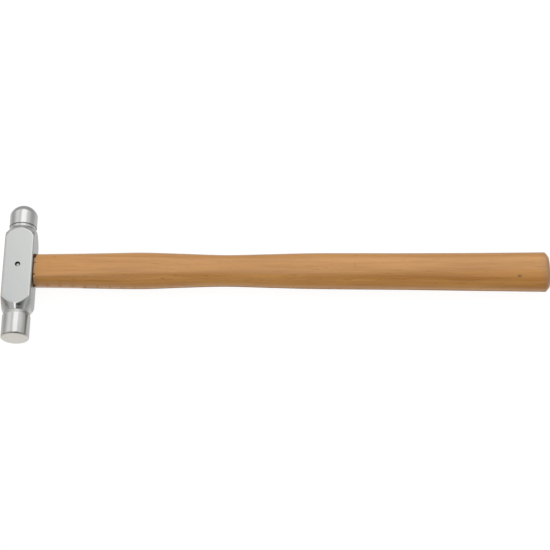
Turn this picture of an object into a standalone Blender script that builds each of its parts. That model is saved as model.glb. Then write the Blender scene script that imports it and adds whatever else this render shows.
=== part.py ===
"""Ball peen hammer, about 4 oz, lying on one cheek of its head.

The origin is the centre of the footprint, on the surface that the hammer lies on. +X runs from the head
to the butt of the handle, +Y from the striking face to the ball, and +Z up. Everything is in metres.

The eye is the hole through the head that holds the handle's tenon, and the cheeks are the two flats
beside it. One wedge of wood and one of steel spread the tenon in the eye, a steel pin crosses both
cheeks and the tenon, and a bead of glue fills the joint between the head and the handle's shoulder.
"""

import math

import bmesh
import bpy
from mathutils import Vector

GAP = 0.0003  # between pieces that touch on the real hammer

# Head, measured from the middle of the eye
FACE_END = 0.0382  # the striking face
BALL_END = 0.0375  # the top of the ball
HEAD_WIDTH = 0.0152  # along the handle
HEAD_THICKNESS = 0.0170  # cheek to cheek
BLANK_RADIUS = 0.0110  # the turned body that the four flats are ground on
FACE_RADIUS = 0.0073
FACE_EDGE = 0.0004
FACE_LENGTH = 0.0118
FACE_NECK = (0.0247, 0.0067)  # distance from the middle of the eye, radius
FACE_SHOULDER = 0.0180  # distance from the middle of the eye to the full blank
BALL_SHOULDER = 0.0166
BALL_CONE = (0.0190, 0.0101)
BALL_NECK = (0.0236, 0.0067)
BALL_RADIUS = 0.0072
BALL_BAND = (0.0250, 0.0317)  # straight band below the ball's dome
TURNED_SIDES = 56

# Eye and tenon: half length along the head, half width from cheek to cheek
EYE_MOUTH = (0.0065, 0.0044)
EYE_WAIST = (0.0059, 0.0040)
EYE_TOP = (0.0067, 0.0047)
OVAL_SIDES = 40

# Handle: distance from the middle of the eye, half width, half thickness before the flats are planed,
# and half thickness over the flats, which run out at the swell
HANDLE_STATIONS = (
    (0.0085, 0.00875, 0.00875, 0.00635),
    (0.0316, 0.00918, 0.00848, 0.00707),
    (0.0523, 0.00972, 0.00790, 0.00760),
    (0.0654, 0.00990, 0.00759, 0.00775),
    (0.0861, 0.00917, 0.00718, 0.00775),
    (0.1070, 0.00857, 0.00676, 0.00775),
    (0.1304, 0.00919, 0.00697, 0.00775),
    (0.1531, 0.00978, 0.00723, 0.00775),
    (0.1980, 0.01000, 0.00749, 0.00780),
    (0.2344, 0.01034, 0.00764, 0.00780),
    (0.2732, 0.01081, 0.00777, 0.00780),
)
HANDLE_END = 0.2759
BUTT_EDGE = ((0.0009, 0.0019), (0.0003, 0.0029), (0.0, 0.0044))  # distance from the end, inset
SHOULDER_EDGE = (0.0010, 0.0004)  # length along the handle, inset
HANDLE_RINGS = 30

# Wedges, pin and glue
WOOD_WEDGE = (0.0086, 0.0096, 0.0017)  # depth, length along the head, thickness at its outer end
STEEL_WEDGE = (0.0055, 0.0054, 0.0012)  # depth, length from cheek to cheek, thickness at its outer end
STEEL_WEDGE_Y = 0.0030
WEDGE_TIP = 0.45  # thickness of a wedge's tip, as a share of its outer end
PIN_RADIUS = 0.0010
PIN_SINK = 0.0004  # how far each end of the pin lies below its cheek
GLUE_SINK = 0.0004  # how far the bead stays inside the handle's outline

AXIS_HEIGHT = HEAD_THICKNESS / 2  # of the handle and the head's length, above the surface
OVERALL = HEAD_WIDTH / 2 + HANDLE_END
HEAD_X = HEAD_WIDTH / 2 - OVERALL / 2
HEAD_Y = (FACE_END - BALL_END) / 2


def clear_scene():
    for obj in list(bpy.data.objects):
        bpy.data.objects.remove(obj, do_unlink=True)


def material(name, colour, roughness, metallic):
    made = bpy.data.materials.new(name)
    made.use_nodes = True
    shader = made.node_tree.nodes["Principled BSDF"]
    shader.inputs["Base Color"].default_value = (*colour, 1)
    shader.inputs["Roughness"].default_value = roughness
    shader.inputs["Metallic"].default_value = metallic
    made.diffuse_color = (*colour, 1)
    return made


def polished_steel():
    return material("polished_steel", (0.78, 0.79, 0.78), 0.16, 1)


def ash_wood():
    return material("lacquered_ash", (0.56, 0.30, 0.13), 0.38, 0)


def wedge_wood():
    return material("wedge_wood", (0.40, 0.22, 0.10), 0.55, 0)


def wedge_steel():
    return material("wedge_steel", (0.48, 0.48, 0.47), 0.4, 1)


def pin_steel():
    return material("pin_steel", (0.55, 0.55, 0.54), 0.35, 1)


def brown_glue():
    return material("brown_glue", (0.10, 0.045, 0.018), 0.35, 0)


def lofted(name, rings):
    """One closed mesh that faces out, through rings of points, each with the same number of points."""
    mesh = bmesh.new()
    made = [[mesh.verts.new(point) for point in ring] for ring in rings]
    for ring, following in zip(made, made[1:]):
        for i in range(len(ring)):
            j = (i + 1) % len(ring)
            mesh.faces.new((ring[i], ring[j], following[j], following[i]))
    mesh.faces.new(made[0][::-1])
    mesh.faces.new(made[-1])
    bmesh.ops.recalc_face_normals(mesh, faces=mesh.faces)
    data = bpy.data.meshes.new(name)
    mesh.to_mesh(data)
    mesh.free()
    obj = bpy.data.objects.new(name, data)
    bpy.context.scene.collection.objects.link(obj)
    return obj


def box(name, low, high):
    """A box between two corners, lofted along X."""
    rings = []
    for x in (low[0], high[0]):
        rings.append([Vector((x, y, z)) for y, z in (
            (low[1], low[2]), (high[1], low[2]), (high[1], high[2]), (low[1], high[2]))])
    return lofted(name, rings)


def rod(name, radius, low, high, sides, axis="Z"):
    """A cylinder along Z or X."""
    rings = []
    for along in (low, high):
        ring = []
        for i in range(sides):
            angle = 2 * math.pi * (i + 0.5) / sides
            across = (radius * math.cos(angle), radius * math.sin(angle))
            ring.append(Vector((*across, along)) if axis == "Z" else Vector((along, *across)))
        rings.append(ring)
    return lofted(name, rings)


def oval(x, half_y, half_z):
    """A ring across X of the eye's oval shape."""
    angles = (2 * math.pi * i / OVAL_SIDES for i in range(OVAL_SIDES))
    return [Vector((x, half_y * math.cos(a), half_z * math.sin(a))) for a in angles]


def finish(obj, parent, look, sharp=35):
    obj.parent = parent
    obj.data.materials.append(look)
    obj.data.shade_smooth()
    obj.data.set_sharp_from_angle(angle=math.radians(sharp))
    return obj


def boolean(obj, cutter, operation="DIFFERENCE"):
    cutter.hide_render = True
    cutter.display_type = "WIRE"
    cutter.parent = obj
    made = obj.modifiers.new(cutter.name, "BOOLEAN")
    made.operation = operation
    made.solver = "EXACT"
    made.object = cutter


def ball_dome():
    """Points of the ball's cap, a part of a sphere from the band to the top."""
    height = BALL_END - BALL_BAND[1]
    sphere = (BALL_RADIUS**2 + height**2) / (2 * height)
    widest = math.asin(BALL_RADIUS / sphere)
    steps = 7
    points = []
    for i in range(steps):
        angle = widest * (1 - i / steps)
        points.append((BALL_END - sphere * (1 - math.cos(angle)), sphere * math.sin(angle)))
    return points


def head_profile():
    """(Y, radius) of the turned blank from the striking face to near the top of the ball."""
    return [
        (-FACE_END, FACE_RADIUS - FACE_EDGE),
        (FACE_EDGE - FACE_END, FACE_RADIUS),
        (FACE_LENGTH - FACE_END, FACE_RADIUS),
        (-FACE_NECK[0], FACE_NECK[1]),
        (-FACE_SHOULDER, BLANK_RADIUS),
        (BALL_SHOULDER, BLANK_RADIUS),
        BALL_CONE,
        BALL_NECK,
        (BALL_BAND[0], BALL_RADIUS),
        *ball_dome(),
        (BALL_END, BALL_RADIUS / 20),
    ]


def head(parent):
    """Turned blank with four flats ground on it, the oval eye along X and the pin's hole along Z."""
    rings = []
    for y, radius in head_profile():
        angles = (2 * math.pi * (i + 0.5) / TURNED_SIDES for i in range(TURNED_SIDES))
        rings.append([Vector((radius * math.sin(a), y, radius * math.cos(a))) for a in angles])
    made = lofted("head", rings)
    side, cheek = HEAD_WIDTH / 2, HEAD_THICKNESS / 2
    boolean(made, box("flats", (-side, -2 * FACE_END, -cheek), (side, 2 * BALL_END, cheek)), "INTERSECT")
    reach = side + 0.001
    eye = [oval(-reach, *EYE_TOP), oval(-side, *EYE_TOP), oval(0, *EYE_WAIST),
           oval(side, *EYE_MOUTH), oval(reach, *EYE_MOUTH)]
    boolean(made, lofted("eye", eye))
    boolean(made, rod("head_pin_hole", PIN_RADIUS + GAP, -HEAD_THICKNESS, HEAD_THICKNESS, 20))
    return finish(made, parent, polished_steel())


def spline(stations, x):
    """The stations' values at x, on a smooth curve through them."""
    last = len(stations) - 1
    k = next((i for i in range(last) if x <= stations[i + 1][0]), last - 1)
    near = [stations[max(0, min(last, i))] for i in (k - 1, k, k + 1, k + 2)]
    span = near[2][0] - near[1][0]
    t = (x - near[1][0]) / span
    values = []
    for before, start, end, after in list(zip(*near))[1:]:
        slope_in = (end - before) / max(near[2][0] - near[0][0], span) * span
        slope_out = (after - start) / max(near[3][0] - near[1][0], span) * span
        a = 2 * start - 2 * end + slope_in + slope_out
        b = 3 * end - 3 * start - 2 * slope_in - slope_out
        values.append(((a * t + b) * t + slope_in) * t + start)
    return values


def handle_ring(x, inset=0.0):
    """A ring across the handle: an ellipse cut off at the planed flats."""
    first, last = HANDLE_STATIONS[0][0], HANDLE_STATIONS[-1][0]
    half_y, half_z, flat = (half - inset for half in spline(HANDLE_STATIONS, max(first, min(last, x))))
    ring = []
    for point in oval(x, half_y, half_z):
        point.z = max(-flat, min(flat, point.z))
        ring.append(point)
    return ring


def tenon_ring(x):
    """A ring of the tenon, which follows the eye with a gap."""
    side = HEAD_WIDTH / 2
    end = EYE_MOUTH if x > 0 else EYE_TOP
    t = min(1, abs(x) / side)
    half_y, half_z = (waist + (wide - waist) * t - GAP for waist, wide in zip(EYE_WAIST, end))
    return oval(x, half_y, half_z)


def handle(parent):
    """Tenon, shoulder, shaft and rounded butt in one piece of wood, with a kerf for the wedge."""
    side = HEAD_WIDTH / 2
    shoulder, butt = HANDLE_STATIONS[0][0], HANDLE_STATIONS[-1][0]
    start = shoulder + SHOULDER_EDGE[0]
    rings = [tenon_ring(x) for x in (-side, 0, side, shoulder)]
    rings.append(handle_ring(shoulder, SHOULDER_EDGE[1]))
    for i in range(HANDLE_RINGS + 1):
        rings.append(handle_ring(start + (butt - start) * i / HANDLE_RINGS))
    rings += [handle_ring(HANDLE_END - before, inset) for before, inset in BUTT_EDGE]
    made = lofted("handle", rings)
    boolean(made, wedge("kerf", WOOD_WEDGE, GAP, 0.001))
    boolean(made, steel_slot("tenon_slot"))
    boolean(made, rod("tenon_pin_hole", PIN_RADIUS + GAP, -HEAD_THICKNESS, HEAD_THICKNESS, 20))
    return finish(made, parent, ash_wood())


def wedge(name, size, gap, extra):
    """A wedge driven in from the outer side of the head, along +X, and wide along Y."""
    depth, length, thick = size
    outer = -HEAD_WIDTH / 2 - extra
    rings = []
    for x, thickness in ((outer, thick), (-HEAD_WIDTH / 2, thick),
                         (-HEAD_WIDTH / 2 + depth + gap, thick * WEDGE_TIP)):
        y, z = length / 2 + gap, thickness / 2 + gap
        rings.append([Vector((x, *p)) for p in ((-y, -z), (y, -z), (y, z), (-y, z))])
    return lofted(name, rings if extra else rings[1:])


def steel_slot(name):
    """The room that the steel wedge takes in the tenon and in the wooden wedge."""
    made = wedge(name, STEEL_WEDGE, GAP, 0.001)
    made.location.y = STEEL_WEDGE_Y
    made.rotation_euler.x = math.pi / 2
    return made


def wooden_wedge(parent):
    """Hardwood wedge along the eye, cut through by the steel wedge and by the cross pin."""
    made = wedge("wooden_wedge", WOOD_WEDGE, 0, 0)
    boolean(made, steel_slot("wedge_slot"))
    boolean(made, rod("wedge_pin_hole", PIN_RADIUS + GAP, -HEAD_THICKNESS, HEAD_THICKNESS, 20))
    return finish(made, parent, wedge_wood())


def steel_wedge(parent):
    """Short steel wedge driven across the wooden one, beside the pin."""
    made = wedge("steel_wedge", STEEL_WEDGE, 0, 0)
    made.location.y = STEEL_WEDGE_Y
    made.rotation_euler.x = math.pi / 2
    return finish(made, parent, wedge_steel())


def cross_pin(parent):
    """Steel pin through both cheeks and the tenon, a little below the cheeks at both ends."""
    half = HEAD_THICKNESS / 2 - PIN_SINK
    chamfer = PIN_RADIUS / 4
    rings = []
    for z, radius in ((-half, PIN_RADIUS - chamfer), (chamfer - half, PIN_RADIUS),
                      (half - chamfer, PIN_RADIUS), (half, PIN_RADIUS - chamfer)):
        angles = (2 * math.pi * i / 20 for i in range(20))
        rings.append([Vector((radius * math.cos(a), radius * math.sin(a), z)) for a in angles])
    return finish(lofted("cross_pin", rings), parent, pin_steel())


def adhesive_bead(parent):
    """Ring of glue round the tenon, between the head's side and the handle's shoulder."""
    near, far = HEAD_WIDTH / 2 + GAP, HANDLE_STATIONS[0][0] - GAP
    outline = handle_ring(HANDLE_STATIONS[0][0], GLUE_SINK + SHOULDER_EDGE[1])
    made = lofted("adhesive_bead", [[Vector((x, p.y, p.z)) for p in outline] for x in (near, far)])
    reach = 0.001
    boolean(made, lofted("bead_hole", [oval(near - reach, *EYE_MOUTH), oval(far + reach, *EYE_MOUTH)]))
    return finish(made, parent, brown_glue())


def main():
    clear_scene()
    hammer = bpy.data.objects.new("hammer", None)
    hammer.location = (HEAD_X, HEAD_Y, AXIS_HEIGHT)
    bpy.context.scene.collection.objects.link(hammer)
    head(hammer)
    handle(hammer)
    wooden_wedge(hammer)
    steel_wedge(hammer)
    cross_pin(hammer)
    adhesive_bead(hammer)


main()
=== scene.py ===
"""The looks of the ball peen hammer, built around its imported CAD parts.

The frame gives each part's place and size. The head, the handle, the glue, the pin and the wedges are
rebuilt here as fine meshes in the same place, with procedural materials. Lengths are in metres. +X runs
from the head to the butt, +Y from the striking face to the ball, and +Z up.
"""

import math

import bmesh
import bpy
import numpy as np
from mathutils import Matrix, Vector

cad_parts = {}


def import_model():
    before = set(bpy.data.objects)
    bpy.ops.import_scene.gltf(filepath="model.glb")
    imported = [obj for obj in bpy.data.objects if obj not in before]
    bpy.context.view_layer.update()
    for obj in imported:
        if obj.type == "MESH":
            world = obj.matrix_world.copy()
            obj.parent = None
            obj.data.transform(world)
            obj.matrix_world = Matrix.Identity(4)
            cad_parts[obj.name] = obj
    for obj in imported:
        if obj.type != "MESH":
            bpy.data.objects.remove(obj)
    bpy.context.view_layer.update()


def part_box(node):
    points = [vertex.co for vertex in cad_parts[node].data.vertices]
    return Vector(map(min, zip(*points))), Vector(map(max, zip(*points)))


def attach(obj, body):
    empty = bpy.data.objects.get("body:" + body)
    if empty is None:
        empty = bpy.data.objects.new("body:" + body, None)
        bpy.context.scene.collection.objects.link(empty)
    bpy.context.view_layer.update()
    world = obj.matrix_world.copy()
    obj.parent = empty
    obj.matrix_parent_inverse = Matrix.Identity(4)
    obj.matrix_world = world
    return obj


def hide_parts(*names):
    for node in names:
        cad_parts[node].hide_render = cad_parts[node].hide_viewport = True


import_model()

MM = 0.001
LEAST_SLOPE = 0.2  # a flat's distance along a ray nearly parallel to it is cut off here
HEAD_LOW, HEAD_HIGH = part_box("head")
PIN_LOW, PIN_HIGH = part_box("cross_pin")
AXIS = (PIN_LOW + PIN_HIGH) / 2  # the middle of the eye
HALF_WIDTH, _, HALF_THICK = (HEAD_HIGH - HEAD_LOW) / 2
FACE_END = AXIS.y - HEAD_LOW.y
BALL_END = HEAD_HIGH.y - AXIS.y
HANDLE_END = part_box("handle")[1].x - AXIS.x

# Head, measured from the middle of the eye
BLANK_RADIUS = 11.0 * MM
FACE_RADIUS = 7.3 * MM
BALL_RADIUS = 7.2 * MM
BALL_BAND = (25.0 * MM, 32.15 * MM)
CHEEK_SOFTNESS = 0.5 * MM  # how far the polishing has rounded the edges of the cheeks
SIDE_SOFTNESS = 0.3 * MM
CONES = (15.5 * MM, 23.0 * MM)  # where the flats run out into the cones, on both sides
CONE_STEP = 0.16 * MM
LONGEST_STEP = 1.0 * MM
DOME_RINGS = 24

# Eye and tenon: half length along the head, half width from cheek to cheek
EYE_TOP = (6.7 * MM, 4.7 * MM)
EYE_WAIST = (5.9 * MM, 4.0 * MM)
EYE_MOUTH = (6.5 * MM, 4.4 * MM)
EYE_CHAMFER = 0.35 * MM
TENON_GAP = 0.05 * MM
CUTTER_REACH = 0.5 * MM  # how far the cutters of the eye and of the pin hole stand out of the head

# Pin: the hole's radius and chamfer, the gap round the pin, and how deep its ends lie below the cheeks
PIN_HOLE = 1.3 * MM
PIN_HOLE_CHAMFER = 0.12 * MM
PIN_GAP = 0.16 * MM
PIN_DEPTH = 0.85 * MM

# Handle: distance from the middle of the eye, half width, half thickness before the flats are planed,
# half thickness over the flats, and how far the slightly bowed wood stands towards the ball's side
HANDLE_STATIONS = (
    (7.85, 8.75, 8.75, 6.35, 0.00),
    (31.6, 9.18, 8.48, 7.07, 0.07),
    (52.3, 9.72, 7.90, 7.60, 0.16),
    (65.4, 9.90, 7.59, 7.75, 0.23),
    (86.1, 9.17, 7.18, 7.75, 0.31),
    (107.0, 8.57, 6.76, 7.75, 0.27),
    (130.4, 9.19, 6.97, 7.75, 0.23),
    (153.1, 9.78, 7.23, 7.75, 0.25),
    (198.0, 10.00, 7.49, 7.80, 0.10),
    (234.4, 10.34, 7.64, 7.80, -0.05),
    (273.2, 10.81, 7.77, 7.80, -0.08),
)
HANDLE_AROUND = 144  # points in a ring
HANDLE_RINGS = 150
SHOULDER = HANDLE_STATIONS[0][0] * MM
SHOULDER_ROUND = (0.8 * MM, 0.4 * MM)  # length along the handle, depth
SHOULDER_INSET = 1.6 * MM
TENON_END = 8.2 * MM
BUTT_LENGTH = 2.8 * MM  # the rounded last stretch
FLATS_FADE = ((20 * MM, 70 * MM), (0.3 * MM, 1.2 * MM))  # where the flats' edges soften, and how soft
KNOT = (258.6 * MM, -5.5 * MM)  # X and Y from the middle of the eye, as for the mark
MARK = (174.0 * MM, 0.3 * MM)

# Glue: (angle round the handle, width) of its lumps in degrees, how far they stand out, and its outline:
# (share of the way from the head to the shoulder, millimetres under its greatest radius)
GLUE_LUMPS = ((46, 13), (20, 10), (176, 11), (74, 4), (126, 4), (250, 7))
LUMP_HEIGHT = 0.95 * MM
GLUE_INSET = 0.6 * MM
GLUE_OUTLINE = ((0.0, 2.4), (0.02, 0.25), (0.15, 0.06), (0.4, 0.0), (0.65, 0.05), (0.85, 0.02),
                (1.0, 0.12), (1.1, 0.5), (1.1, 2.4))

# Wedges, driven in from the outer side of the head: depth, length, thickness there and at the tip
WOOD_WEDGE = (8.6 * MM, 9.6 * MM, 1.7 * MM, 0.77 * MM)
STEEL_WEDGE = (5.5 * MM, 5.4 * MM, 1.2 * MM, 0.54 * MM)
STEEL_WEDGE_Y = 3.0 * MM
WEDGE_GAP = 0.06 * MM
WEDGE_CORNER = 0.1 * MM
SLOT_REACH = 1 * MM  # how far a slot's cutter stands out of the head


# Meshes -------------------------------------------------------------------------------------------


def ring_mesh(name, rings, poles):
    """A closed mesh through rings of points, of shape (rings, points, 3), closed at both poles."""
    count, around = rings.shape[:2]
    points = np.concatenate([rings.reshape(-1, 3), np.array(poles, float)])
    first = np.arange(count - 1)[:, None] * around
    i = np.arange(around)[None, :]
    j = (i + 1) % around
    quads = np.stack([first + i, first + j, first + around + j, first + around + i], -1)
    faces = quads.reshape(-1, 4).tolist()
    start, end = count * around, count * around + 1
    last = (count - 1) * around
    for k in range(around):
        following = (k + 1) % around
        faces.append((start, following, k))
        faces.append((end, last + k, last + following))
    data = bpy.data.meshes.new(name)
    data.from_pydata(points.tolist(), [], faces)
    mesh = bmesh.new()
    mesh.from_mesh(data)
    bmesh.ops.recalc_face_normals(mesh, faces=mesh.faces)
    mesh.to_mesh(data)
    mesh.free()
    made = bpy.data.objects.new(name, data)
    bpy.context.scene.collection.objects.link(made)
    return made


def cut(made, cutters):
    """Subtracts the cutters for good and removes them."""
    for cutter in cutters:
        modifier = made.modifiers.new(cutter.name, "BOOLEAN")
        modifier.operation = "DIFFERENCE"
        modifier.solver = "EXACT"
        modifier.object = cutter
    bpy.context.view_layer.update()
    evaluated = made.evaluated_get(bpy.context.evaluated_depsgraph_get())
    data = bpy.data.meshes.new_from_object(evaluated)
    made.modifiers.clear()
    made.data = data
    for cutter in cutters:
        bpy.data.objects.remove(cutter, do_unlink=True)


def smooth(made, sharp=30):
    made.data.shade_smooth()
    made.data.set_sharp_from_angle(angle=math.radians(sharp))


def soft_min(a, b, softness):
    """The smaller of a and b, rounded off where they come within the softness of each other."""
    near = np.maximum(softness - np.abs(a - b), 0) / softness
    return np.minimum(a, b) - near**3 * softness / 6


def rounded(corners, steps=6):
    """A polyline through (x, y, radius) corners: each corner that has a radius becomes an arc."""
    points = [Vector(corners[0][:2])]
    for before, corner, after in zip(corners, corners[1:], corners[2:]):
        here, radius = Vector(corner[:2]), corner[2]
        back = (Vector(before[:2]) - here).normalized()
        on = (Vector(after[:2]) - here).normalized()
        half = back.angle(on) / 2
        if radius == 0 or half > math.radians(89):
            points.append(here)
            continue
        centre = here + (back + on).normalized() * radius / math.sin(half)
        start = here + back * radius / math.tan(half)
        end = here + on * radius / math.tan(half)
        for k in range(steps + 1):
            towards = start.lerp(end, k / steps) - centre
            points.append(centre + towards.normalized() * radius)
    points.append(Vector(corners[-1][:2]))
    return points


def divided(points, longest):
    """The polyline with points added so that no step is over longest(point)."""
    made = [points[0]]
    for start, end in zip(points, points[1:]):
        middle = (start + end) / 2
        pieces = max(1, math.ceil((end - start).length / longest(middle)))
        made += [start.lerp(end, k / pieces) for k in range(1, pieces + 1)]
    return made


def oval_ring(x, half_y, half_z, around=96):
    angles = np.linspace(0, 2 * math.pi, around, endpoint=False)
    return np.stack([np.full(around, x), half_y * np.cos(angles), half_z * np.sin(angles)], -1)


def upright(name, sections, end):
    """A closed round mesh along Z through the middle of the eye, from (height, radius) sections."""
    rings = []
    for z, radius in sections:
        ring = oval_ring(0, radius, radius, 48)
        rings.append(np.stack([ring[:, 1], ring[:, 2], np.full(len(ring), z)], -1))
    poles = [(0, 0, -end), (0, 0, end)]
    return ring_mesh(name, moved(np.array(rings)), moved(np.array(poles)))


def moved(points):
    """Points measured from the middle of the eye, as points of the frame."""
    return points + np.array(AXIS)


def dress(made, material, node):
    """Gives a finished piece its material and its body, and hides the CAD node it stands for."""
    made.data.materials.clear()
    made.data.materials.append(material)
    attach(made, "root")
    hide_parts(node)


# Head ---------------------------------------------------------------------------------------------


def head_profile():
    """(Y, radius) of the turned blank, from the middle of the striking face to the top of the ball."""
    outline = [  # (Y, radius, fillet radius)
        (-FACE_END, 0, 0),
        (-FACE_END, FACE_RADIUS, 0.7 * MM),
        (-26.4 * MM, FACE_RADIUS, 0.3 * MM),
        (-24.7 * MM, 6.7 * MM, 0.5 * MM),
        (-23.1 * MM, 7.66 * MM, 12 * MM),
        (-18.0 * MM, BLANK_RADIUS, 1.6 * MM),
        (16.6 * MM, BLANK_RADIUS, 2.0 * MM),
        (19.0 * MM, 10.1 * MM, 2.5 * MM),
        (23.5 * MM, 6.76 * MM, 0.6 * MM),
        (24.85 * MM, 6.82 * MM, 0),
        (BALL_BAND[0], 7.08 * MM, 0),
        (BALL_BAND[0] + 0.1 * MM, BALL_RADIUS, 0),
        (BALL_BAND[1], BALL_RADIUS, 0),
    ]
    height = BALL_END - BALL_BAND[1]
    sphere = (BALL_RADIUS**2 + height**2) / (2 * height)
    widest = math.asin(BALL_RADIUS / sphere)
    dome = []
    for k in range(1, DOME_RINGS):
        angle = widest * (1 - k / DOME_RINGS)
        y = BALL_END - sphere * (1 - math.cos(angle))
        dome.append(Vector((y, sphere * math.sin(angle))))
    return [*rounded(outline), *dome]


def head_step(point):
    """The longest step along the head's outline: short where the flats run out into the cones."""
    return CONE_STEP if CONES[0] < abs(point.x) < CONES[1] else LONGEST_STEP


def head_angles():
    """Angles round the head from +Z towards +X, closer together at the four long corners."""
    corner = math.atan2(HALF_WIDTH, HALF_THICK)
    near = math.radians(8)
    quarter = np.concatenate([
        np.linspace(0, corner - near, 20, endpoint=False),
        np.linspace(corner - near, corner + near, 28, endpoint=False),
        np.linspace(corner + near, math.pi / 2, 24, endpoint=False),
    ])
    half = np.concatenate([quarter, math.pi - np.append(quarter, math.pi / 2)[:0:-1]])
    return np.concatenate([half, half + math.pi])


def head_mesh():
    outline = divided(head_profile(), head_step)
    angles = head_angles()
    sine, cosine = np.sin(angles), np.cos(angles)
    side = HALF_WIDTH / np.maximum(np.abs(sine), LEAST_SLOPE)
    cheek = HALF_THICK / np.maximum(np.abs(cosine), LEAST_SLOPE)
    rings = []
    for y, radius in outline[1:]:
        turned = np.full(len(angles), radius)
        around = soft_min(soft_min(turned, cheek, CHEEK_SOFTNESS), side, SIDE_SOFTNESS)
        rings.append(np.stack([around * sine, np.full(len(angles), y), around * cosine], -1))
    poles = [(0, -FACE_END, 0), (0, BALL_END, 0)]
    return ring_mesh("hammer_head", moved(np.array(rings)), moved(np.array(poles)))


def eye_cutter():
    """An oval cutter along X, narrowest in the middle and flared where it leaves the head."""
    flare = EYE_CHAMFER + CUTTER_REACH
    sections = (
        (-HALF_WIDTH - CUTTER_REACH, EYE_TOP, flare),
        (-HALF_WIDTH + EYE_CHAMFER, EYE_TOP, 0),
        (0, EYE_WAIST, 0),
        (HALF_WIDTH - EYE_CHAMFER, EYE_MOUTH, 0),
        (HALF_WIDTH + CUTTER_REACH, EYE_MOUTH, flare),
    )
    rings = np.array([oval_ring(x, size[0] + more, size[1] + more) for x, size, more in sections])
    poles = [(sections[0][0], 0, 0), (sections[-1][0], 0, 0)]
    return ring_mesh("eye_cutter", moved(rings), moved(np.array(poles)))


def pin_hole_cutter(radius, chamfer):
    """A round cutter along Z through both cheeks, flared where it leaves them."""
    wide = radius + chamfer + CUTTER_REACH
    end = HALF_THICK + CUTTER_REACH
    edge = HALF_THICK - chamfer
    sections = ((-end, wide), (-edge, radius), (edge, radius), (end, wide))
    return upright("pin_hole_cutter", sections, end)


def head():
    made = head_mesh()
    cut(made, [eye_cutter(), pin_hole_cutter(PIN_HOLE, PIN_HOLE_CHAMFER)])
    smooth(made)
    dress(made, head_steel(), "head")


# Handle -------------------------------------------------------------------------------------------


def handle_size(x):
    """Half width, half thickness, half thickness over the flats, and bow at x."""
    stations = np.array(HANDLE_STATIONS) * MM
    last = len(stations) - 1
    k = int(np.clip(np.searchsorted(stations[:, 0], x, side="right") - 1, 0, last - 1))
    before, start, end, after = (stations[np.clip(i, 0, last)] for i in (k - 1, k, k + 1, k + 2))
    span = end[0] - start[0]
    t = np.clip((x - start[0]) / span, 0, 1)
    slope_in = (end - before) / max(end[0] - before[0], span) * span
    slope_out = (after - start) / max(after[0] - start[0], span) * span
    a = 2 * start - 2 * end + slope_in + slope_out
    b = 3 * end - 3 * start - 2 * slope_in - slope_out
    return (((a * t + b) * t + slope_in) * t + start)[1:]


def handle_ring(x, inset=0.0):
    """A ring across the handle: an oval whose top and bottom are planed flat near the head."""
    half_y, half_z, flat, bow = handle_size(x) - np.array((inset, inset, inset, 0))
    angles = np.linspace(0, 2 * math.pi, HANDLE_AROUND, endpoint=False)
    oval = 1 / np.sqrt((np.cos(angles) / half_y) ** 2 + (np.sin(angles) / half_z) ** 2)
    planed = flat / np.maximum(np.abs(np.sin(angles)), LEAST_SLOPE)
    radius = soft_min(oval, planed, np.interp(x, *FLATS_FADE))
    y, z = radius * np.cos(angles) + bow, radius * np.sin(angles)
    return np.stack([np.full(HANDLE_AROUND, x), y, z], -1)


def tenon_size(x):
    """Half width and half thickness of the tenon at x, a little under those of the eye."""
    end = EYE_MOUTH if x > 0 else EYE_TOP
    t = min(1, abs(x) / HALF_WIDTH)
    return [waist + (wide - waist) * t - TENON_GAP for waist, wide in zip(EYE_WAIST, end)]


def handle_rings():
    """The rings of the tenon, the rounded shoulder, the shaft and the rounded butt."""
    rings = []
    half_y, half_z = tenon_size(-HALF_WIDTH)
    for share in (0.2, 0.5, 0.8, 0.96):
        rings.append(oval_ring(-HALF_WIDTH, half_y * share, half_z * share, HANDLE_AROUND))
    for x in np.linspace(-HALF_WIDTH + 0.15 * MM, TENON_END, 12):
        rings.append(oval_ring(x, *tenon_size(x), HANDLE_AROUND))
    length, depth = SHOULDER_ROUND
    rings.append(handle_ring(SHOULDER, SHOULDER_INSET))
    for k in range(9):
        angle = math.pi / 2 * k / 8
        x = SHOULDER + length * (1 - math.cos(angle))
        rings.append(handle_ring(x, depth * (1 - math.sin(angle))))
    butt = HANDLE_END - BUTT_LENGTH
    for x in np.linspace(SHOULDER + length, butt, HANDLE_RINGS)[1:-1]:
        rings.append(handle_ring(x))
    edge = rounded([  # (X, how far the surface lies inside the shaft's, fillet radius)
        (butt - 1 * MM, 0, 0),
        (butt, 0, 1.2 * MM),
        (HANDLE_END - 1.1 * MM, 2.0 * MM, 1.0 * MM),
        (HANDLE_END - 0.6 * MM, 4.3 * MM, 1.5 * MM),
        (HANDLE_END, 7.6 * MM, 0),
    ])
    rings += [handle_ring(x, inset) for x, inset in edge[1:]]
    return np.array(rings)


def wedge_rings(size, gap, beyond, across):
    """The two ends of a wedge-shaped block, 8 points each. It starts this far beyond the head's side."""
    depth, length, thick, tip = size
    soft = WEDGE_CORNER
    rings = []
    taper = (thick - tip) / (depth + gap)
    for x in (-beyond, depth + gap):
        y, z = length / 2 + gap, (thick - taper * x) / 2 + gap
        corners = [(-y, soft - z), (soft - y, -z), (y - soft, -z), (y, soft - z),
                   (y, z - soft), (y - soft, z), (soft - y, z), (-y, z - soft)]
        if across:
            corners = [(q, -p) for p, q in corners]
        rings.append([(x - HALF_WIDTH, *corner) for corner in corners])
    return np.array(rings)


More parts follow.
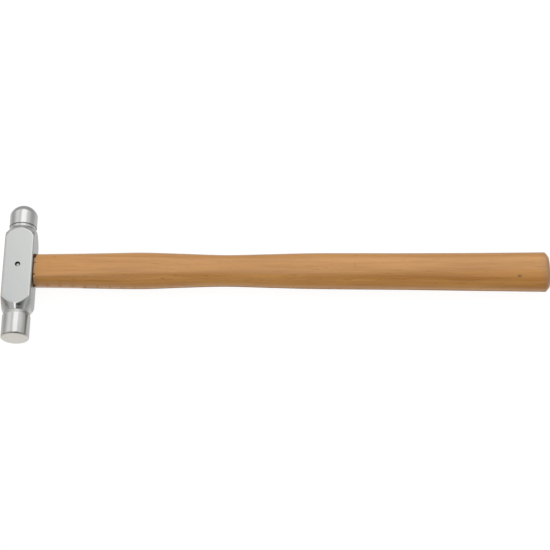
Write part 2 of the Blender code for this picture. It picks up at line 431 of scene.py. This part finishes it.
def wedge_block(name, size, offset_y=0.0, gap=0.0, beyond=0.0, across=False):
    """A wedge with a bevelled outer end, or its slot's cutter, which starts beyond the head's side."""
    rings = wedge_rings(size, gap, beyond, across) + np.array((0, offset_y, 0))
    if beyond == 0:
        rings = np.concatenate([rings[:1], rings])
        rings[0, :, 1:] = (rings[0, :, 1:] - (offset_y, 0)) * (0.96, 0.9) + (offset_y, 0)
        rings[1, :, 0] += 0.08 * MM
    poles = [(rings[0, 0, 0], offset_y, 0), (rings[-1, 0, 0], offset_y, 0)]
    return ring_mesh(name, moved(rings), moved(np.array(poles)))


def wood_wedge_slot():
    return wedge_block("wood_wedge_slot", WOOD_WEDGE, 0, WEDGE_GAP, SLOT_REACH)


def steel_wedge_slot():
    return wedge_block("steel_wedge_slot", STEEL_WEDGE, STEEL_WEDGE_Y, WEDGE_GAP, SLOT_REACH, True)


def handle():
    rings = handle_rings()
    poles = [(-HALF_WIDTH, 0, 0), (HANDLE_END, 0, 0)]
    made = ring_mesh("hammer_handle", moved(rings), moved(np.array(poles)))
    cut(made, [pin_hole_cutter(PIN_HOLE, 0), wood_wedge_slot(), steel_wedge_slot()])
    smooth(made)
    dress(made, ash_wood("lacquered_ash"), "handle")


def wedges():
    wood = wedge_block("eye_wedge", WOOD_WEDGE)
    cut(wood, [steel_wedge_slot(), pin_hole_cutter(PIN_HOLE, 0)])
    smooth(wood)
    dress(wood, wedge_wood(), "wooden_wedge")
    steel = wedge_block("cross_wedge", STEEL_WEDGE, STEEL_WEDGE_Y, across=True)
    smooth(steel)
    dress(steel, dull_steel("wedge_steel"), "steel_wedge")


# Pin and glue -------------------------------------------------------------------------------------


def pin():
    """A straight pin through both cheeks, a little below their surface, its ends slightly domed."""
    radius, end = PIN_HOLE - PIN_GAP, HALF_THICK - PIN_DEPTH
    dome, edge = 0.1 * MM, 0.28 * MM  # below the very end
    outline = [
        (-end, 0, 0),
        (-end + dome, radius * 0.75, 0.3 * MM),
        (-end + edge, radius, 0.12 * MM),
        (end - edge, radius, 0.12 * MM),
        (end - dome, radius * 0.75, 0.3 * MM),
        (end, 0, 0),
    ]
    sections = divided(rounded(outline), lambda point: 0.5 * MM)[1:-1]
    made = upright("eye_pin", sections, end)
    smooth(made)
    dress(made, dull_steel("pin_steel"), "cross_pin")


def glue_reach(angles, share):
    """How far the glue stands out from the handle's axis at a share of its length, and its lumps."""
    ring = handle_ring(SHOULDER)
    outline = np.hypot(ring[:, 1], ring[:, 2])
    waves = ((5, 0.4), (9, 2.1), (16, 1.2), (27, 4.0))
    rough = sum(np.sin(angles * k + share * k * 0.6 + start) / k for k, start in waves)
    lumps = 0
    for place, width in GLUE_LUMPS:
        apart = np.abs((np.degrees(angles) - place + 180) % 360 - 180)
        lumps = lumps + np.exp(-((apart / width) ** 2))
    return outline - GLUE_INSET + rough * 0.3 * MM + np.minimum(lumps, 1) * LUMP_HEIGHT, lumps


def glue():
    """The glue squeezed out between the head and the handle's shoulder, with lumps at the corners."""
    angles = np.linspace(0, 2 * math.pi, HANDLE_AROUND, endpoint=False)
    start, end = HALF_WIDTH - 0.05 * MM, SHOULDER
    rings = []
    for share, inset in GLUE_OUTLINE:
        radius, lumps = glue_reach(angles, share)
        spread = np.minimum(lumps, 1) * max(0, share - 0.5) * 2.4 * MM
        x = start + (end - start) * share + spread
        radius = radius - inset * MM
        rings.append(np.stack([x, radius * np.cos(angles), radius * np.sin(angles)], -1))
    poles = [(start, 0, 0), (end, 0, 0)]
    made = ring_mesh("glue_bead", moved(np.array(rings)), moved(np.array(poles)))
    smooth(made, 60)
    dress(made, dark_glue(), "adhesive_bead")


# Materials ----------------------------------------------------------------------------------------


class Nodes:
    """A short way to write shader nodes in a node tree."""

    def __init__(self, tree):
        self.tree = tree

    def add(self, kind, inputs=(), **settings):
        node = self.tree.nodes.new(kind)
        for name, value in settings.items():
            setattr(node, name, value)
        for key, value in dict(inputs).items():
            self.join(value, node.inputs[key])
        return node

    def join(self, value, socket):
        if isinstance(value, bpy.types.NodeSocket):
            self.tree.links.new(value, socket)
        else:
            socket.default_value = value

    def math(self, operation, a, b=0.0):
        return self.add("ShaderNodeMath", {0: a, 1: b}, operation=operation).outputs[0]

    def plus(self, *values):
        total = values[0]
        for value in values[1:]:
            total = self.math("ADD", total, value)
        return total

    def times(self, *values):
        product = values[0]
        for value in values[1:]:
            product = self.math("MULTIPLY", product, value)
        return product

    def scaled(self, x, y, z, vector=None, shift=(0, 0, 0)):
        """The position, or another vector, with each axis multiplied and then shifted."""
        inputs = {"Vector": vector or self.place, "Scale": (x, y, z), "Location": shift}
        return self.add("ShaderNodeMapping", inputs).outputs["Vector"]

    def noise(self, vector, detail=2.0, rough=0.5):
        inputs = {"Vector": vector, "Scale": 1.0, "Detail": detail, "Roughness": rough}
        return self.add("ShaderNodeTexNoise", inputs).outputs["Fac"]

    def ramp(self, value, low, high, start=0.0, end=1.0, smoothly=False):
        """The value from low to high, carried over to start to end."""
        inputs = {"Value": value, "From Min": low, "From Max": high, "To Min": start, "To Max": end}
        kind = "SMOOTHSTEP" if smoothly else "LINEAR"
        return self.add("ShaderNodeMapRange", inputs, interpolation_type=kind).outputs["Result"]

    def table(self, value, rows):
        """The value looked up in (value, result) rows, with straight lines between, all below 2."""
        low, high = rows[0][0], rows[-1][0]
        node = self.add("ShaderNodeValToRGB", {"Fac": self.ramp(value, low, high)})
        stops = node.color_ramp.elements
        while len(stops) < len(rows):
            stops.new(0.5)
        for stop, (place, result) in zip(stops, rows):
            stop.position = (place - low) / (high - low)
            stop.color = (result / 2, result / 2, result / 2, 1)
        return self.times(node.outputs["Color"], 2.0)

    def mix(self, amount, a, b):
        """Colours a to b by the amount."""
        node = self.add("ShaderNodeMix", data_type="RGBA")
        self.join(amount, node.inputs["Factor"])
        for socket, value in ((node.inputs[6], a), (node.inputs[7], b)):
            self.join((*value, 1) if isinstance(value, tuple) else value, socket)
        return node.outputs[2]

    def blend(self, amount, a, b):
        """The same for numbers."""
        node = self.add("ShaderNodeMix", {"Factor": amount})
        self.join(a, node.inputs[2])
        self.join(b, node.inputs[3])
        return node.outputs[0]


class Surface(Nodes):
    """A new material. Its place, x, y and z are measured from the middle of the eye."""

    def __init__(self, name):
        self.material = bpy.data.materials.new(name)
        self.material.use_nodes = True
        super().__init__(self.material.node_tree)
        self.shader = self.tree.nodes["Principled BSDF"]
        self.coordinates = self.add("ShaderNodeTexCoord").outputs
        shift = {"Vector": self.coordinates["Object"], "Location": tuple(-AXIS)}
        self.place = self.add("ShaderNodeMapping", shift).outputs["Vector"]
        self.x, self.y, self.z = self.parts(self.place)

    def parts(self, vector):
        return self.add("ShaderNodeSeparateXYZ", {"Vector": vector}).outputs

    def facing(self):
        """How squarely the surface faces X, Y and Z, either way, from 0 to 1."""
        return [self.math("ABSOLUTE", part) for part in self.parts(self.coordinates["Normal"])]

    def bump(self, height, distance):
        node = self.add("ShaderNodeBump", {"Height": height, "Distance": distance, "Strength": 1.0})
        self.join(node.outputs["Normal"], self.shader.inputs["Normal"])

    def off_axis(self, a, b, squash=1.0):
        """The distance from the line where a and b are 0."""
        return self.math("SQRT", self.plus(self.times(a, a, squash), self.times(b, b)))

    def near(self, value, place, outer, inner, most=1.0):
        """Most where the value is within inner of the place, falling to 0 at outer."""
        apart = self.math("ABSOLUTE", self.plus(value, -place))
        return self.ramp(apart, outer, inner, 0, most)

    def set(self, **values):
        for name, value in values.items():
            self.join(value, self.shader.inputs[name.replace("_", " ")])


def head_steel():
    """Polished steel, with a satin finish on the four flats and fine lathe marks on the turned parts."""
    n = Surface("head_steel")
    towards_x, _, towards_z = n.facing()
    squarely = n.math("MAXIMUM", towards_x, towards_z)
    body = n.ramp(n.math("ABSOLUTE", n.y), 24.6 * MM, 24.2 * MM)
    flat = n.times(n.ramp(squarely, 0.965, 0.995, smoothly=True), body)
    radius = n.off_axis(n.x, n.z)

    turned = n.add("ShaderNodeCombineXYZ", {"X": n.times(n.y, 4200), "Y": n.times(radius, 4200)})
    lathe = n.noise(turned.outputs[0], 3, 0.6)
    ground = n.noise(n.scaled(6500, 260, 6500), 2, 0.6)
    cloud = n.noise(n.scaled(190, 120, 190), 4, 0.6)
    patch = n.ramp(cloud, 0.35, 0.65, smoothly=True)
    spots = n.noise(n.scaled(700, 600, 700), 3, 0.5)
    worn = n.noise(n.scaled(150, 150, 150, shift=(3, 1, 2)), 3, 0.5)
    worn = n.ramp(worn, 0.35, 0.65, smoothly=True)

    # Painted shade: the flats are darker towards the striking end and away from the handle
    slope = n.plus(n.ramp(n.y, -24 * MM, 20 * MM, 0, 0.6), n.ramp(n.x, -7 * MM, 7 * MM, 0, 0.4))
    colour = n.mix(slope, (0.43, 0.445, 0.442), (0.52, 0.525, 0.515))
    colour = n.mix(n.times(patch, 0.25), colour, (0.57, 0.575, 0.565))
    turned_colour = n.mix(patch, (0.555, 0.555, 0.54), (0.6, 0.6, 0.59))
    colour = n.mix(flat, turned_colour, colour)
    colour = n.mix(n.ramp(spots, 0.68, 0.8, 0, 0.35), colour, (0.36, 0.35, 0.33))
    face = n.ramp(n.y, -37.2 * MM, -37.7 * MM)
    colour = n.mix(face, colour, n.mix(worn, (0.565, 0.55, 0.5), (0.62, 0.595, 0.555)))
    # Painted shade: the wall of the pin hole is darkened
    bore_painted_shade = n.ramp(n.off_axis(n.x, n.y), 1.42 * MM, 1.36 * MM)
    colour = n.mix(bore_painted_shade, colour, (0.12, 0.115, 0.105))

    # Painted shade in the groove under the ball and in the neck behind the striking end
    groove_shade = n.times(n.near(n.y, 24.85 * MM, 0.3 * MM, 0.12 * MM), n.ramp(radius, 7.17 * MM, 7.1 * MM))
    neck_shade = n.near(n.y, -24.6 * MM, 0.3 * MM, 0.1 * MM, 0.3)
    colour = n.mix(n.math("MAXIMUM", groove_shade, neck_shade), colour, (0.2, 0.19, 0.17))
    # Painted shade: a thin dark edge round the upper part of the striking face
    painted_rim_shade = n.times(n.ramp(n.y, -37.15 * MM, -37.45 * MM), n.ramp(radius, 6.6 * MM, 6.85 * MM))
    painted_rim_shade = n.times(painted_rim_shade, n.ramp(n.z, 2 * MM, 7 * MM, 0, 0.75), n.ramp(n.x, -4 * MM, 0, 0.4, 1))
    colour = n.mix(painted_rim_shade, colour, (0.22, 0.22, 0.19))
    # The cone under the ball is brighter and less polished than the other turned parts
    back_cone = n.times(n.ramp(n.y, 21.2 * MM, 21.8 * MM), n.ramp(n.y, 23.8 * MM, 23.5 * MM))
    colour = n.mix(n.times(back_cone, n.ramp(flat, 1, 0)), colour, (0.76, 0.76, 0.75))

    polished = n.ramp(cloud, 0.3, 0.7, 0.085, 0.15)
    satin = n.ramp(cloud, 0.3, 0.7, 0.3, 0.38)
    rough = n.blend(flat, polished, satin)
    rough = n.blend(back_cone, rough, 0.3)
    rough = n.blend(n.near(n.y, -25.5 * MM, 1.2 * MM, 0.9 * MM), rough, 0.42)
    rough = n.blend(face, rough, n.ramp(worn, 0, 1, 0.26, 0.34))
    rough = n.blend(bore_painted_shade, rough, 0.5)
    n.set(Metallic=1.0, Base_Color=colour, Roughness=rough)
    marks = n.blend(flat, n.times(lathe, 0.55), ground)
    n.bump(n.plus(marks, n.times(spots, 0.5)), 0.0022 * MM)
    return n.material


def dull_steel(name):
    """Unpolished steel with a mottled surface."""
    n = Surface(name)
    cloud = n.noise(n.scaled(900, 900, 900), 4, 0.6)
    colour = n.mix(n.ramp(cloud, 0.35, 0.65), (0.33, 0.325, 0.31), (0.52, 0.515, 0.5))
    n.set(Metallic=1.0, Base_Color=colour, Roughness=n.ramp(cloud, 0.3, 0.7, 0.42, 0.3))
    n.bump(n.noise(n.scaled(2400, 2400, 2400), 3), 0.012 * MM)
    return n.material


def wood_grain(n):
    """Colour, bump height and fibres of ash cut along the grain."""
    # Growth rings lie round a line under the handle, and wander
    wander = n.noise(n.scaled(9, 60, 60), 2)
    across = n.plus(n.y, n.times(n.plus(wander, -0.5), 0.006))
    sway = n.noise(n.scaled(6, 40, 40, shift=(5, 2, 1)), 1)
    depth = n.plus(n.z, 0.021, n.times(n.plus(sway, -0.5), 0.004))
    rings = n.math("FRACT", n.times(n.off_axis(across, depth, 0.35), 620))
    late = n.ramp(n.math("ABSOLUTE", n.plus(rings, -0.5)), 0.16, 0.42, smoothly=True)

    # Streaks from a hand's width long down to single fibres
    broad = n.noise(n.scaled(11, 150, 150), 3, 0.55)
    drift = n.noise(n.scaled(24, 70, 70, shift=(3, 3, 5)), 1)
    aside = n.add("ShaderNodeCombineXYZ", {"Y": n.times(n.plus(drift, -0.5), 0.0035)}).outputs[0]
    wavy = n.add("ShaderNodeVectorMath", {0: n.place, 1: aside}, operation="ADD").outputs[0]
    streak = n.noise(n.scaled(16, 420, 420, wavy), 4, 0.6)
    thread = n.noise(n.scaled(45, 1500, 1500, shift=(8, 1, 4)), 2, 0.5)
    fibre = n.noise(n.scaled(110, 5200, 5200, wavy), 2)
    fleck = n.noise(n.scaled(190, 1900, 1900, shift=(1, 7, 3)), 1)
    waves = n.noise(n.scaled(55, 330, 330, shift=(2, 4, 9)), 2)

    colour = n.mix(n.ramp(broad, 0.3, 0.7, smoothly=True), (0.556, 0.244, 0.05), (0.636, 0.3, 0.068))
    # Painted light: the ball's side, which faces the light, is painted paler and its grain fainter; the
    # grain is also fainter near the head
    painted_lit_side = n.times(n.ramp(n.y, -6.5 * MM, -2 * MM), n.ramp(n.x, 70 * MM, 100 * MM, 0.1, 0.27))
    colour = n.mix(painted_lit_side, colour, (0.72, 0.345, 0.074))
    strength = n.times(n.ramp(n.x, 60 * MM, 130 * MM, 0.55, 0.85), n.ramp(n.y, -3 * MM, 1 * MM, 1, 0.68))
    dark = n.times(strength, n.ramp(streak, 0.45, 0.68, 0, 0.55, True))
    pale = n.times(strength, n.ramp(streak, 0.46, 0.3, 0, 0.5, True))
    fine = n.times(strength, n.ramp(thread, 0.52, 0.72, 0, 0.27, True))
    colour = n.mix(n.times(late, 0.28, strength), colour, (0.42, 0.17, 0.022))
    colour = n.mix(dark, colour, (0.365, 0.135, 0.02))
    colour = n.mix(pale, colour, (0.68, 0.34, 0.07))
    colour = n.mix(fine, colour, (0.36, 0.13, 0.02))
    colour = n.mix(n.ramp(fleck, 0.68, 0.78, 0, 0.6), colour, (0.22, 0.07, 0.008))
    colour = n.mix(n.ramp(fibre, 0.35, 0.75, 0, 0.22), colour, (0.34, 0.125, 0.02))
    return colour, n.plus(fibre, n.times(streak, 0.8), n.times(waves, 3.5)), fibre


def ash_wood(name):
    """Ash under a clear coat, with end grain at the butt, one knot, one small mark, a paler shoulder and
    painted shade on the rounded butt.
    """
    n = Surface(name)
    colour, height, fibre = wood_grain(n)
    end_on = n.ramp(n.facing()[0], 0.55, 0.9, smoothly=True)
    pores = n.noise(n.scaled(300, 2600, 2600), 2)
    end_colour = n.mix(n.ramp(pores, 0.4, 0.62), (0.34, 0.17, 0.055), (0.22, 0.1, 0.03))
    colour = n.mix(n.times(end_on, 0.85), colour, end_colour)

    above = n.math("GREATER_THAN", n.z, 0.0)
    knot = n.off_axis(n.plus(n.x, -KNOT[0]), n.plus(n.y, -KNOT[1]), 0.35)
    knot = n.times(n.ramp(knot, 1.05 * MM, 0.2 * MM, 0, 0.66, True), above)
    colour = n.mix(knot, colour, (0.17, 0.05, 0.004))
    along = n.near(n.x, MARK[0], 0.45 * MM, 0.15 * MM)
    mark = n.times(along, n.near(n.y, MARK[1], 1.5 * MM, 0.9 * MM), above)
    colour = n.mix(n.times(mark, 0.4), colour, (0.3, 0.11, 0.025))

    shoulder = n.ramp(n.x, 9.3 * MM, 8.7 * MM, 0, 0.6)
    colour = n.mix(shoulder, colour, (0.5, 0.33, 0.19))
    # Painted shade: the rounded butt is darkened over its last few millimetres
    painted_butt_shade = n.ramp(n.x, HANDLE_END - 6.5 * MM, HANDLE_END - 1.4 * MM, 0, 0.6)
    colour = n.mix(painted_butt_shade, colour, (0.35, 0.19, 0.085))
    n.set(Base_Color=colour, Roughness=n.ramp(fibre, 0.3, 0.7, 0.45, 0.55), IOR=1.25)
    n.set(Coat_Weight=1.0, Coat_Roughness=0.17, Coat_IOR=1.54)
    n.bump(height, 0.012 * MM)
    return n.material


def wedge_wood():
    """Bare beech, seen from its end."""
    n = Surface("wedge_beech")
    pores = n.noise(n.scaled(200, 700, 2400), 3)
    colour = n.mix(n.ramp(pores, 0.35, 0.65), (0.32, 0.16, 0.06), (0.5, 0.29, 0.13))
    n.set(Base_Color=colour, Roughness=n.ramp(pores, 0.3, 0.7, 0.55, 0.7))
    n.bump(n.noise(n.scaled(300, 3000, 3000), 2), 0.03 * MM)
    return n.material


def dark_glue():
    """Dried brown glue, almost matt."""
    n = Surface("brown_glue")
    cloud = n.noise(n.scaled(700, 700, 700), 3)
    colour = n.mix(n.ramp(cloud, 0.4, 0.62), (0.075, 0.03, 0.006), (0.27, 0.14, 0.045))
    n.set(Base_Color=colour, Roughness=n.ramp(cloud, 0.3, 0.7, 0.5, 0.7), Specular_IOR_Level=0.1)
    n.bump(n.noise(n.scaled(2600, 2600, 2600), 2), 0.06 * MM)
    return n.material


# Stage --------------------------------------------------------------------------------------------


def unseen_by(made, *rays):
    for ray in rays:
        setattr(made, "visible_" + ray, False)


def matt(name, colour, glow=0.0):
    """A plain matt material for the stage, which gives off white light if it glows."""
    material = bpy.data.materials.new(name)
    material.use_nodes = True
    inputs = material.node_tree.nodes["Principled BSDF"].inputs
    inputs["Base Color"].default_value = (*colour, 1)
    inputs["Roughness"].default_value = 0.9
    inputs["Emission Color"].default_value = (1, 1, 1, 1)
    inputs["Emission Strength"].default_value = glow
    return material


def floor():
    """A pale floor that only the camera sees. The world below the horizon is its reflection."""
    mesh = bmesh.new()
    bmesh.ops.create_grid(mesh, x_segments=1, y_segments=1, size=4)
    data = bpy.data.meshes.new("floor")
    mesh.to_mesh(data)
    mesh.free()
    made = bpy.data.objects.new("floor", data)
    made.location.z = -0.1 * MM
    bpy.context.scene.collection.objects.link(made)
    unseen_by(made, "diffuse", "glossy", "transmission", "shadow")
    made.data.materials.append(matt("pale_floor", (0.12, 0.12, 0.12), 0.93))


def shade_cards(name, cards, colour):
    """Matt cards that only reflections show, with corners measured from the middle of the eye."""
    data = bpy.data.meshes.new(name)
    corners = [AXIS + Vector(corner) for card in cards for corner in card]
    data.from_pydata(corners, [], [tuple(range(k, k + 4)) for k in range(0, len(corners), 4)])
    made = bpy.data.objects.new(name, data)
    bpy.context.scene.collection.objects.link(made)
    unseen_by(made, "camera", "diffuse", "transmission", "shadow")
    data.materials.append(matt(name, colour))


def floor_shade():
    """The shaded floor under the handle, as the polished steel sees it."""
    near, far = 32 * MM, HANDLE_END
    card = (
        (near, -11 * MM, -AXIS.z),
        (far, -14 * MM, -AXIS.z),
        (far, 9 * MM, -AXIS.z),
        (near, 8 * MM, -AXIS.z),
    )
    shade_cards("floor_shade", [card], (0.2, 0.195, 0.17))


def handle_shade():
    """The handle's shaded side, as the striking end sees it: cards beside it, edge-on to its length."""
    inner, outer, top = -10.4 * MM, -16.2 * MM, 7.5 * MM
    cards = []
    for k in range(12):
        x = (14 + 6.5 * k) * MM
        cards.append(((x, outer, -AXIS.z), (x, inner, -AXIS.z), (x, inner, top), (x, outer, top)))
    shade_cards("handle_shade", cards, (0.45, 0.44, 0.38))


def softbox(name, place, size, radiance):
    """A rectangular light of this radiance, placed from the middle of the eye and aimed at it."""
    light = bpy.data.lights.new(name, "AREA")
    light.shape = "RECTANGLE"
    light.size, light.size_y = size
    light.energy = radiance * math.pi * size[0] * size[1]
    made = bpy.data.objects.new(name, light)
    made.location = AXIS + Vector(place)
    made.rotation_euler = Vector(place).to_track_quat("Z", "Y").to_euler()
    bpy.context.scene.collection.objects.link(made)


# Brightness of the room round the hammer's axis, by the angle in degrees from straight up towards +X:
# beside the hammer, and in front of its striking end
ROOM = (
    (-110, 0.5), (-90, 0.54), (-78, 0.62), (-67, 0.8), (-57, 0.98), (-47, 1.07), (-38, 1.03),
    (-28, 0.91), (0, 0.93), (20, 0.92), (35, 0.95), (43, 0.93), (52, 0.86), (61, 0.73), (70, 0.62),
    (80, 0.55), (110, 0.55),
)
FRONT = (
    (-110, 0.25), (-95, 0.15), (-80, 0.18), (-66, 0.38), (-52, 0.62), (-40, 0.68), (-20, 0.66),
    (0, 0.6), (20, 0.5), (34, 0.36), (47, 0.27), (54, 0.32), (63, 0.55), (74, 0.58), (86, 0.41),
    (110, 0.42),
)
# Brightness of the back and of the floor, by the height of the direction
BACK = ((-0.3, 0.55), (-0.17, 0.48), (0, 0.45), (0.17, 0.58), (0.3, 0.82), (0.42, 0.93), (1.0, 0.93))
FLOOR = ((-1.0, 0.9), (-0.89, 0.88), (-0.6, 0.8), (-0.38, 0.7), (-0.16, 0.58), (0, 0.5))
# Front edge of the long ceiling light, by the same angle: 1 plus a hundredth of its degrees forward
LIGHT_EDGE = ((-30, 1.2), (0, 1.2), (3, 1.1), (6, 0.94), (10, 0.86), (30, 0.72))


def world():
    """The studio, by direction: a pale room, a long light overhead, the floor and two dark patches."""
    made = bpy.data.worlds.new("studio")
    made.use_nodes = True
    n = Nodes(made.node_tree)
    way = n.add("ShaderNodeTexCoord").outputs["Generated"]
    x, y, z = n.add("ShaderNodeSeparateXYZ", {"Vector": way}).outputs
    around = n.times(n.math("ARCTAN2", x, z), 180 / math.pi)
    forward = n.times(n.math("ARCSINE", y), -180 / math.pi)

    room = n.table(around, ROOM)
    edge = n.times(n.plus(n.table(around, LIGHT_EDGE), -1), 100)
    inside = n.ramp(n.plus(edge, n.times(forward, -1)), -3, 3, smoothly=True)
    shade = n.times(n.ramp(inside, 1, 0), n.ramp(around, 22, 12, smoothly=True))
    room = n.blend(shade, room, 0.62)
    room = n.blend(n.ramp(y, -0.3, -0.5, smoothly=True), room, n.table(around, FRONT))

    # Two dark patches that the cone behind the striking end reflects, one over the other
    beside = n.ramp(around, -7, 3, smoothly=True)
    high = n.times(n.ramp(forward, 38.6, 40.2, smoothly=True), n.ramp(forward, 52, 46, smoothly=True))
    high = n.times(high, beside)
    low = n.times(n.ramp(forward, 31, 35, smoothly=True), n.ramp(forward, 38.2, 37.2, smoothly=True))
    low = n.times(low, beside)
    room = n.blend(n.times(high, n.ramp(around, 85, 50), 0.7), room, 0.24)
    room = n.blend(n.times(high, n.ramp(around, 52, 30, smoothly=True)), room, 0.06)
    room = n.blend(n.times(low, n.ramp(around, 42, 28, smoothly=True)), room, 0.12)
    room = n.times(room, n.ramp(forward, 50, 75, 1, 0.5, True))

    ground = n.plus(n.table(z, FLOOR), n.times(y, n.ramp(z, -0.5, -0.9), -0.35))
    ground = n.times(ground, n.ramp(y, 0.432, 0.9, 1, 0.7))
    room = n.blend(n.ramp(z, 0.04, -0.04, smoothly=True), room, ground)
    behind = n.times(n.ramp(y, 0.75, 0.95, smoothly=True), n.ramp(z, -0.5, -0.3))
    room = n.blend(behind, room, n.table(z, BACK))
    light = n.times(
        n.ramp(around, -17, -9, smoothly=True),
        n.ramp(around, 39, 31, smoothly=True),
        inside,
        n.ramp(z, 0.22, 0.4, smoothly=True),
    )
    room = n.plus(room, n.times(light, 0.57))

    seen = n.add("ShaderNodeLightPath").outputs["Is Camera Ray"]
    background = made.node_tree.nodes["Background"]
    n.join(n.blend(seen, room, 1.0), background.inputs["Strength"])
    background.inputs["Color"].default_value = (1, 1, 1, 1)
    bpy.context.scene.world = made


def camera():
    """The photo's viewpoint, worked out from the outline of the hammer in it."""
    elevation = math.radians(64.075)
    roll = math.radians(0.092)
    distance = 831.5 * MM
    lower = 2.06 * MM  # how far from the aim, on the striking face's side, the camera looks
    focal_pixels, image_pixels = 1599.1, 550
    aim = AXIS + Vector((132.66 * MM, 0, 0))
    back = Vector((0, -math.cos(elevation), math.sin(elevation)))
    place = aim + back * distance
    back = (place - aim + Vector((0, lower, 0))).normalized()
    right = Vector((math.cos(roll), 0, 0)) + back.cross(Vector((1, 0, 0))) * math.sin(roll)
    up = back.cross(right).normalized()
    right = up.cross(back)
    data = bpy.data.cameras.new("camera")
    data.sensor_width = 36
    data.lens = data.sensor_width * focal_pixels / image_pixels
    data.clip_start = 0.05
    made = bpy.data.objects.new("camera", data)
    made.matrix_world = Matrix((right, up, back)).transposed().to_4x4()
    made.location = place
    bpy.context.scene.collection.objects.link(made)
    bpy.context.scene.camera = made


head()
handle()
wedges()
pin()
glue()
floor()
floor_shade()
handle_shade()
world()
softbox("front_strip", (-0.108, -0.52, 0.6), (0.15, 0.34), 0.95)
camera()
bpy.context.scene.view_settings.view_transform = "Standard"
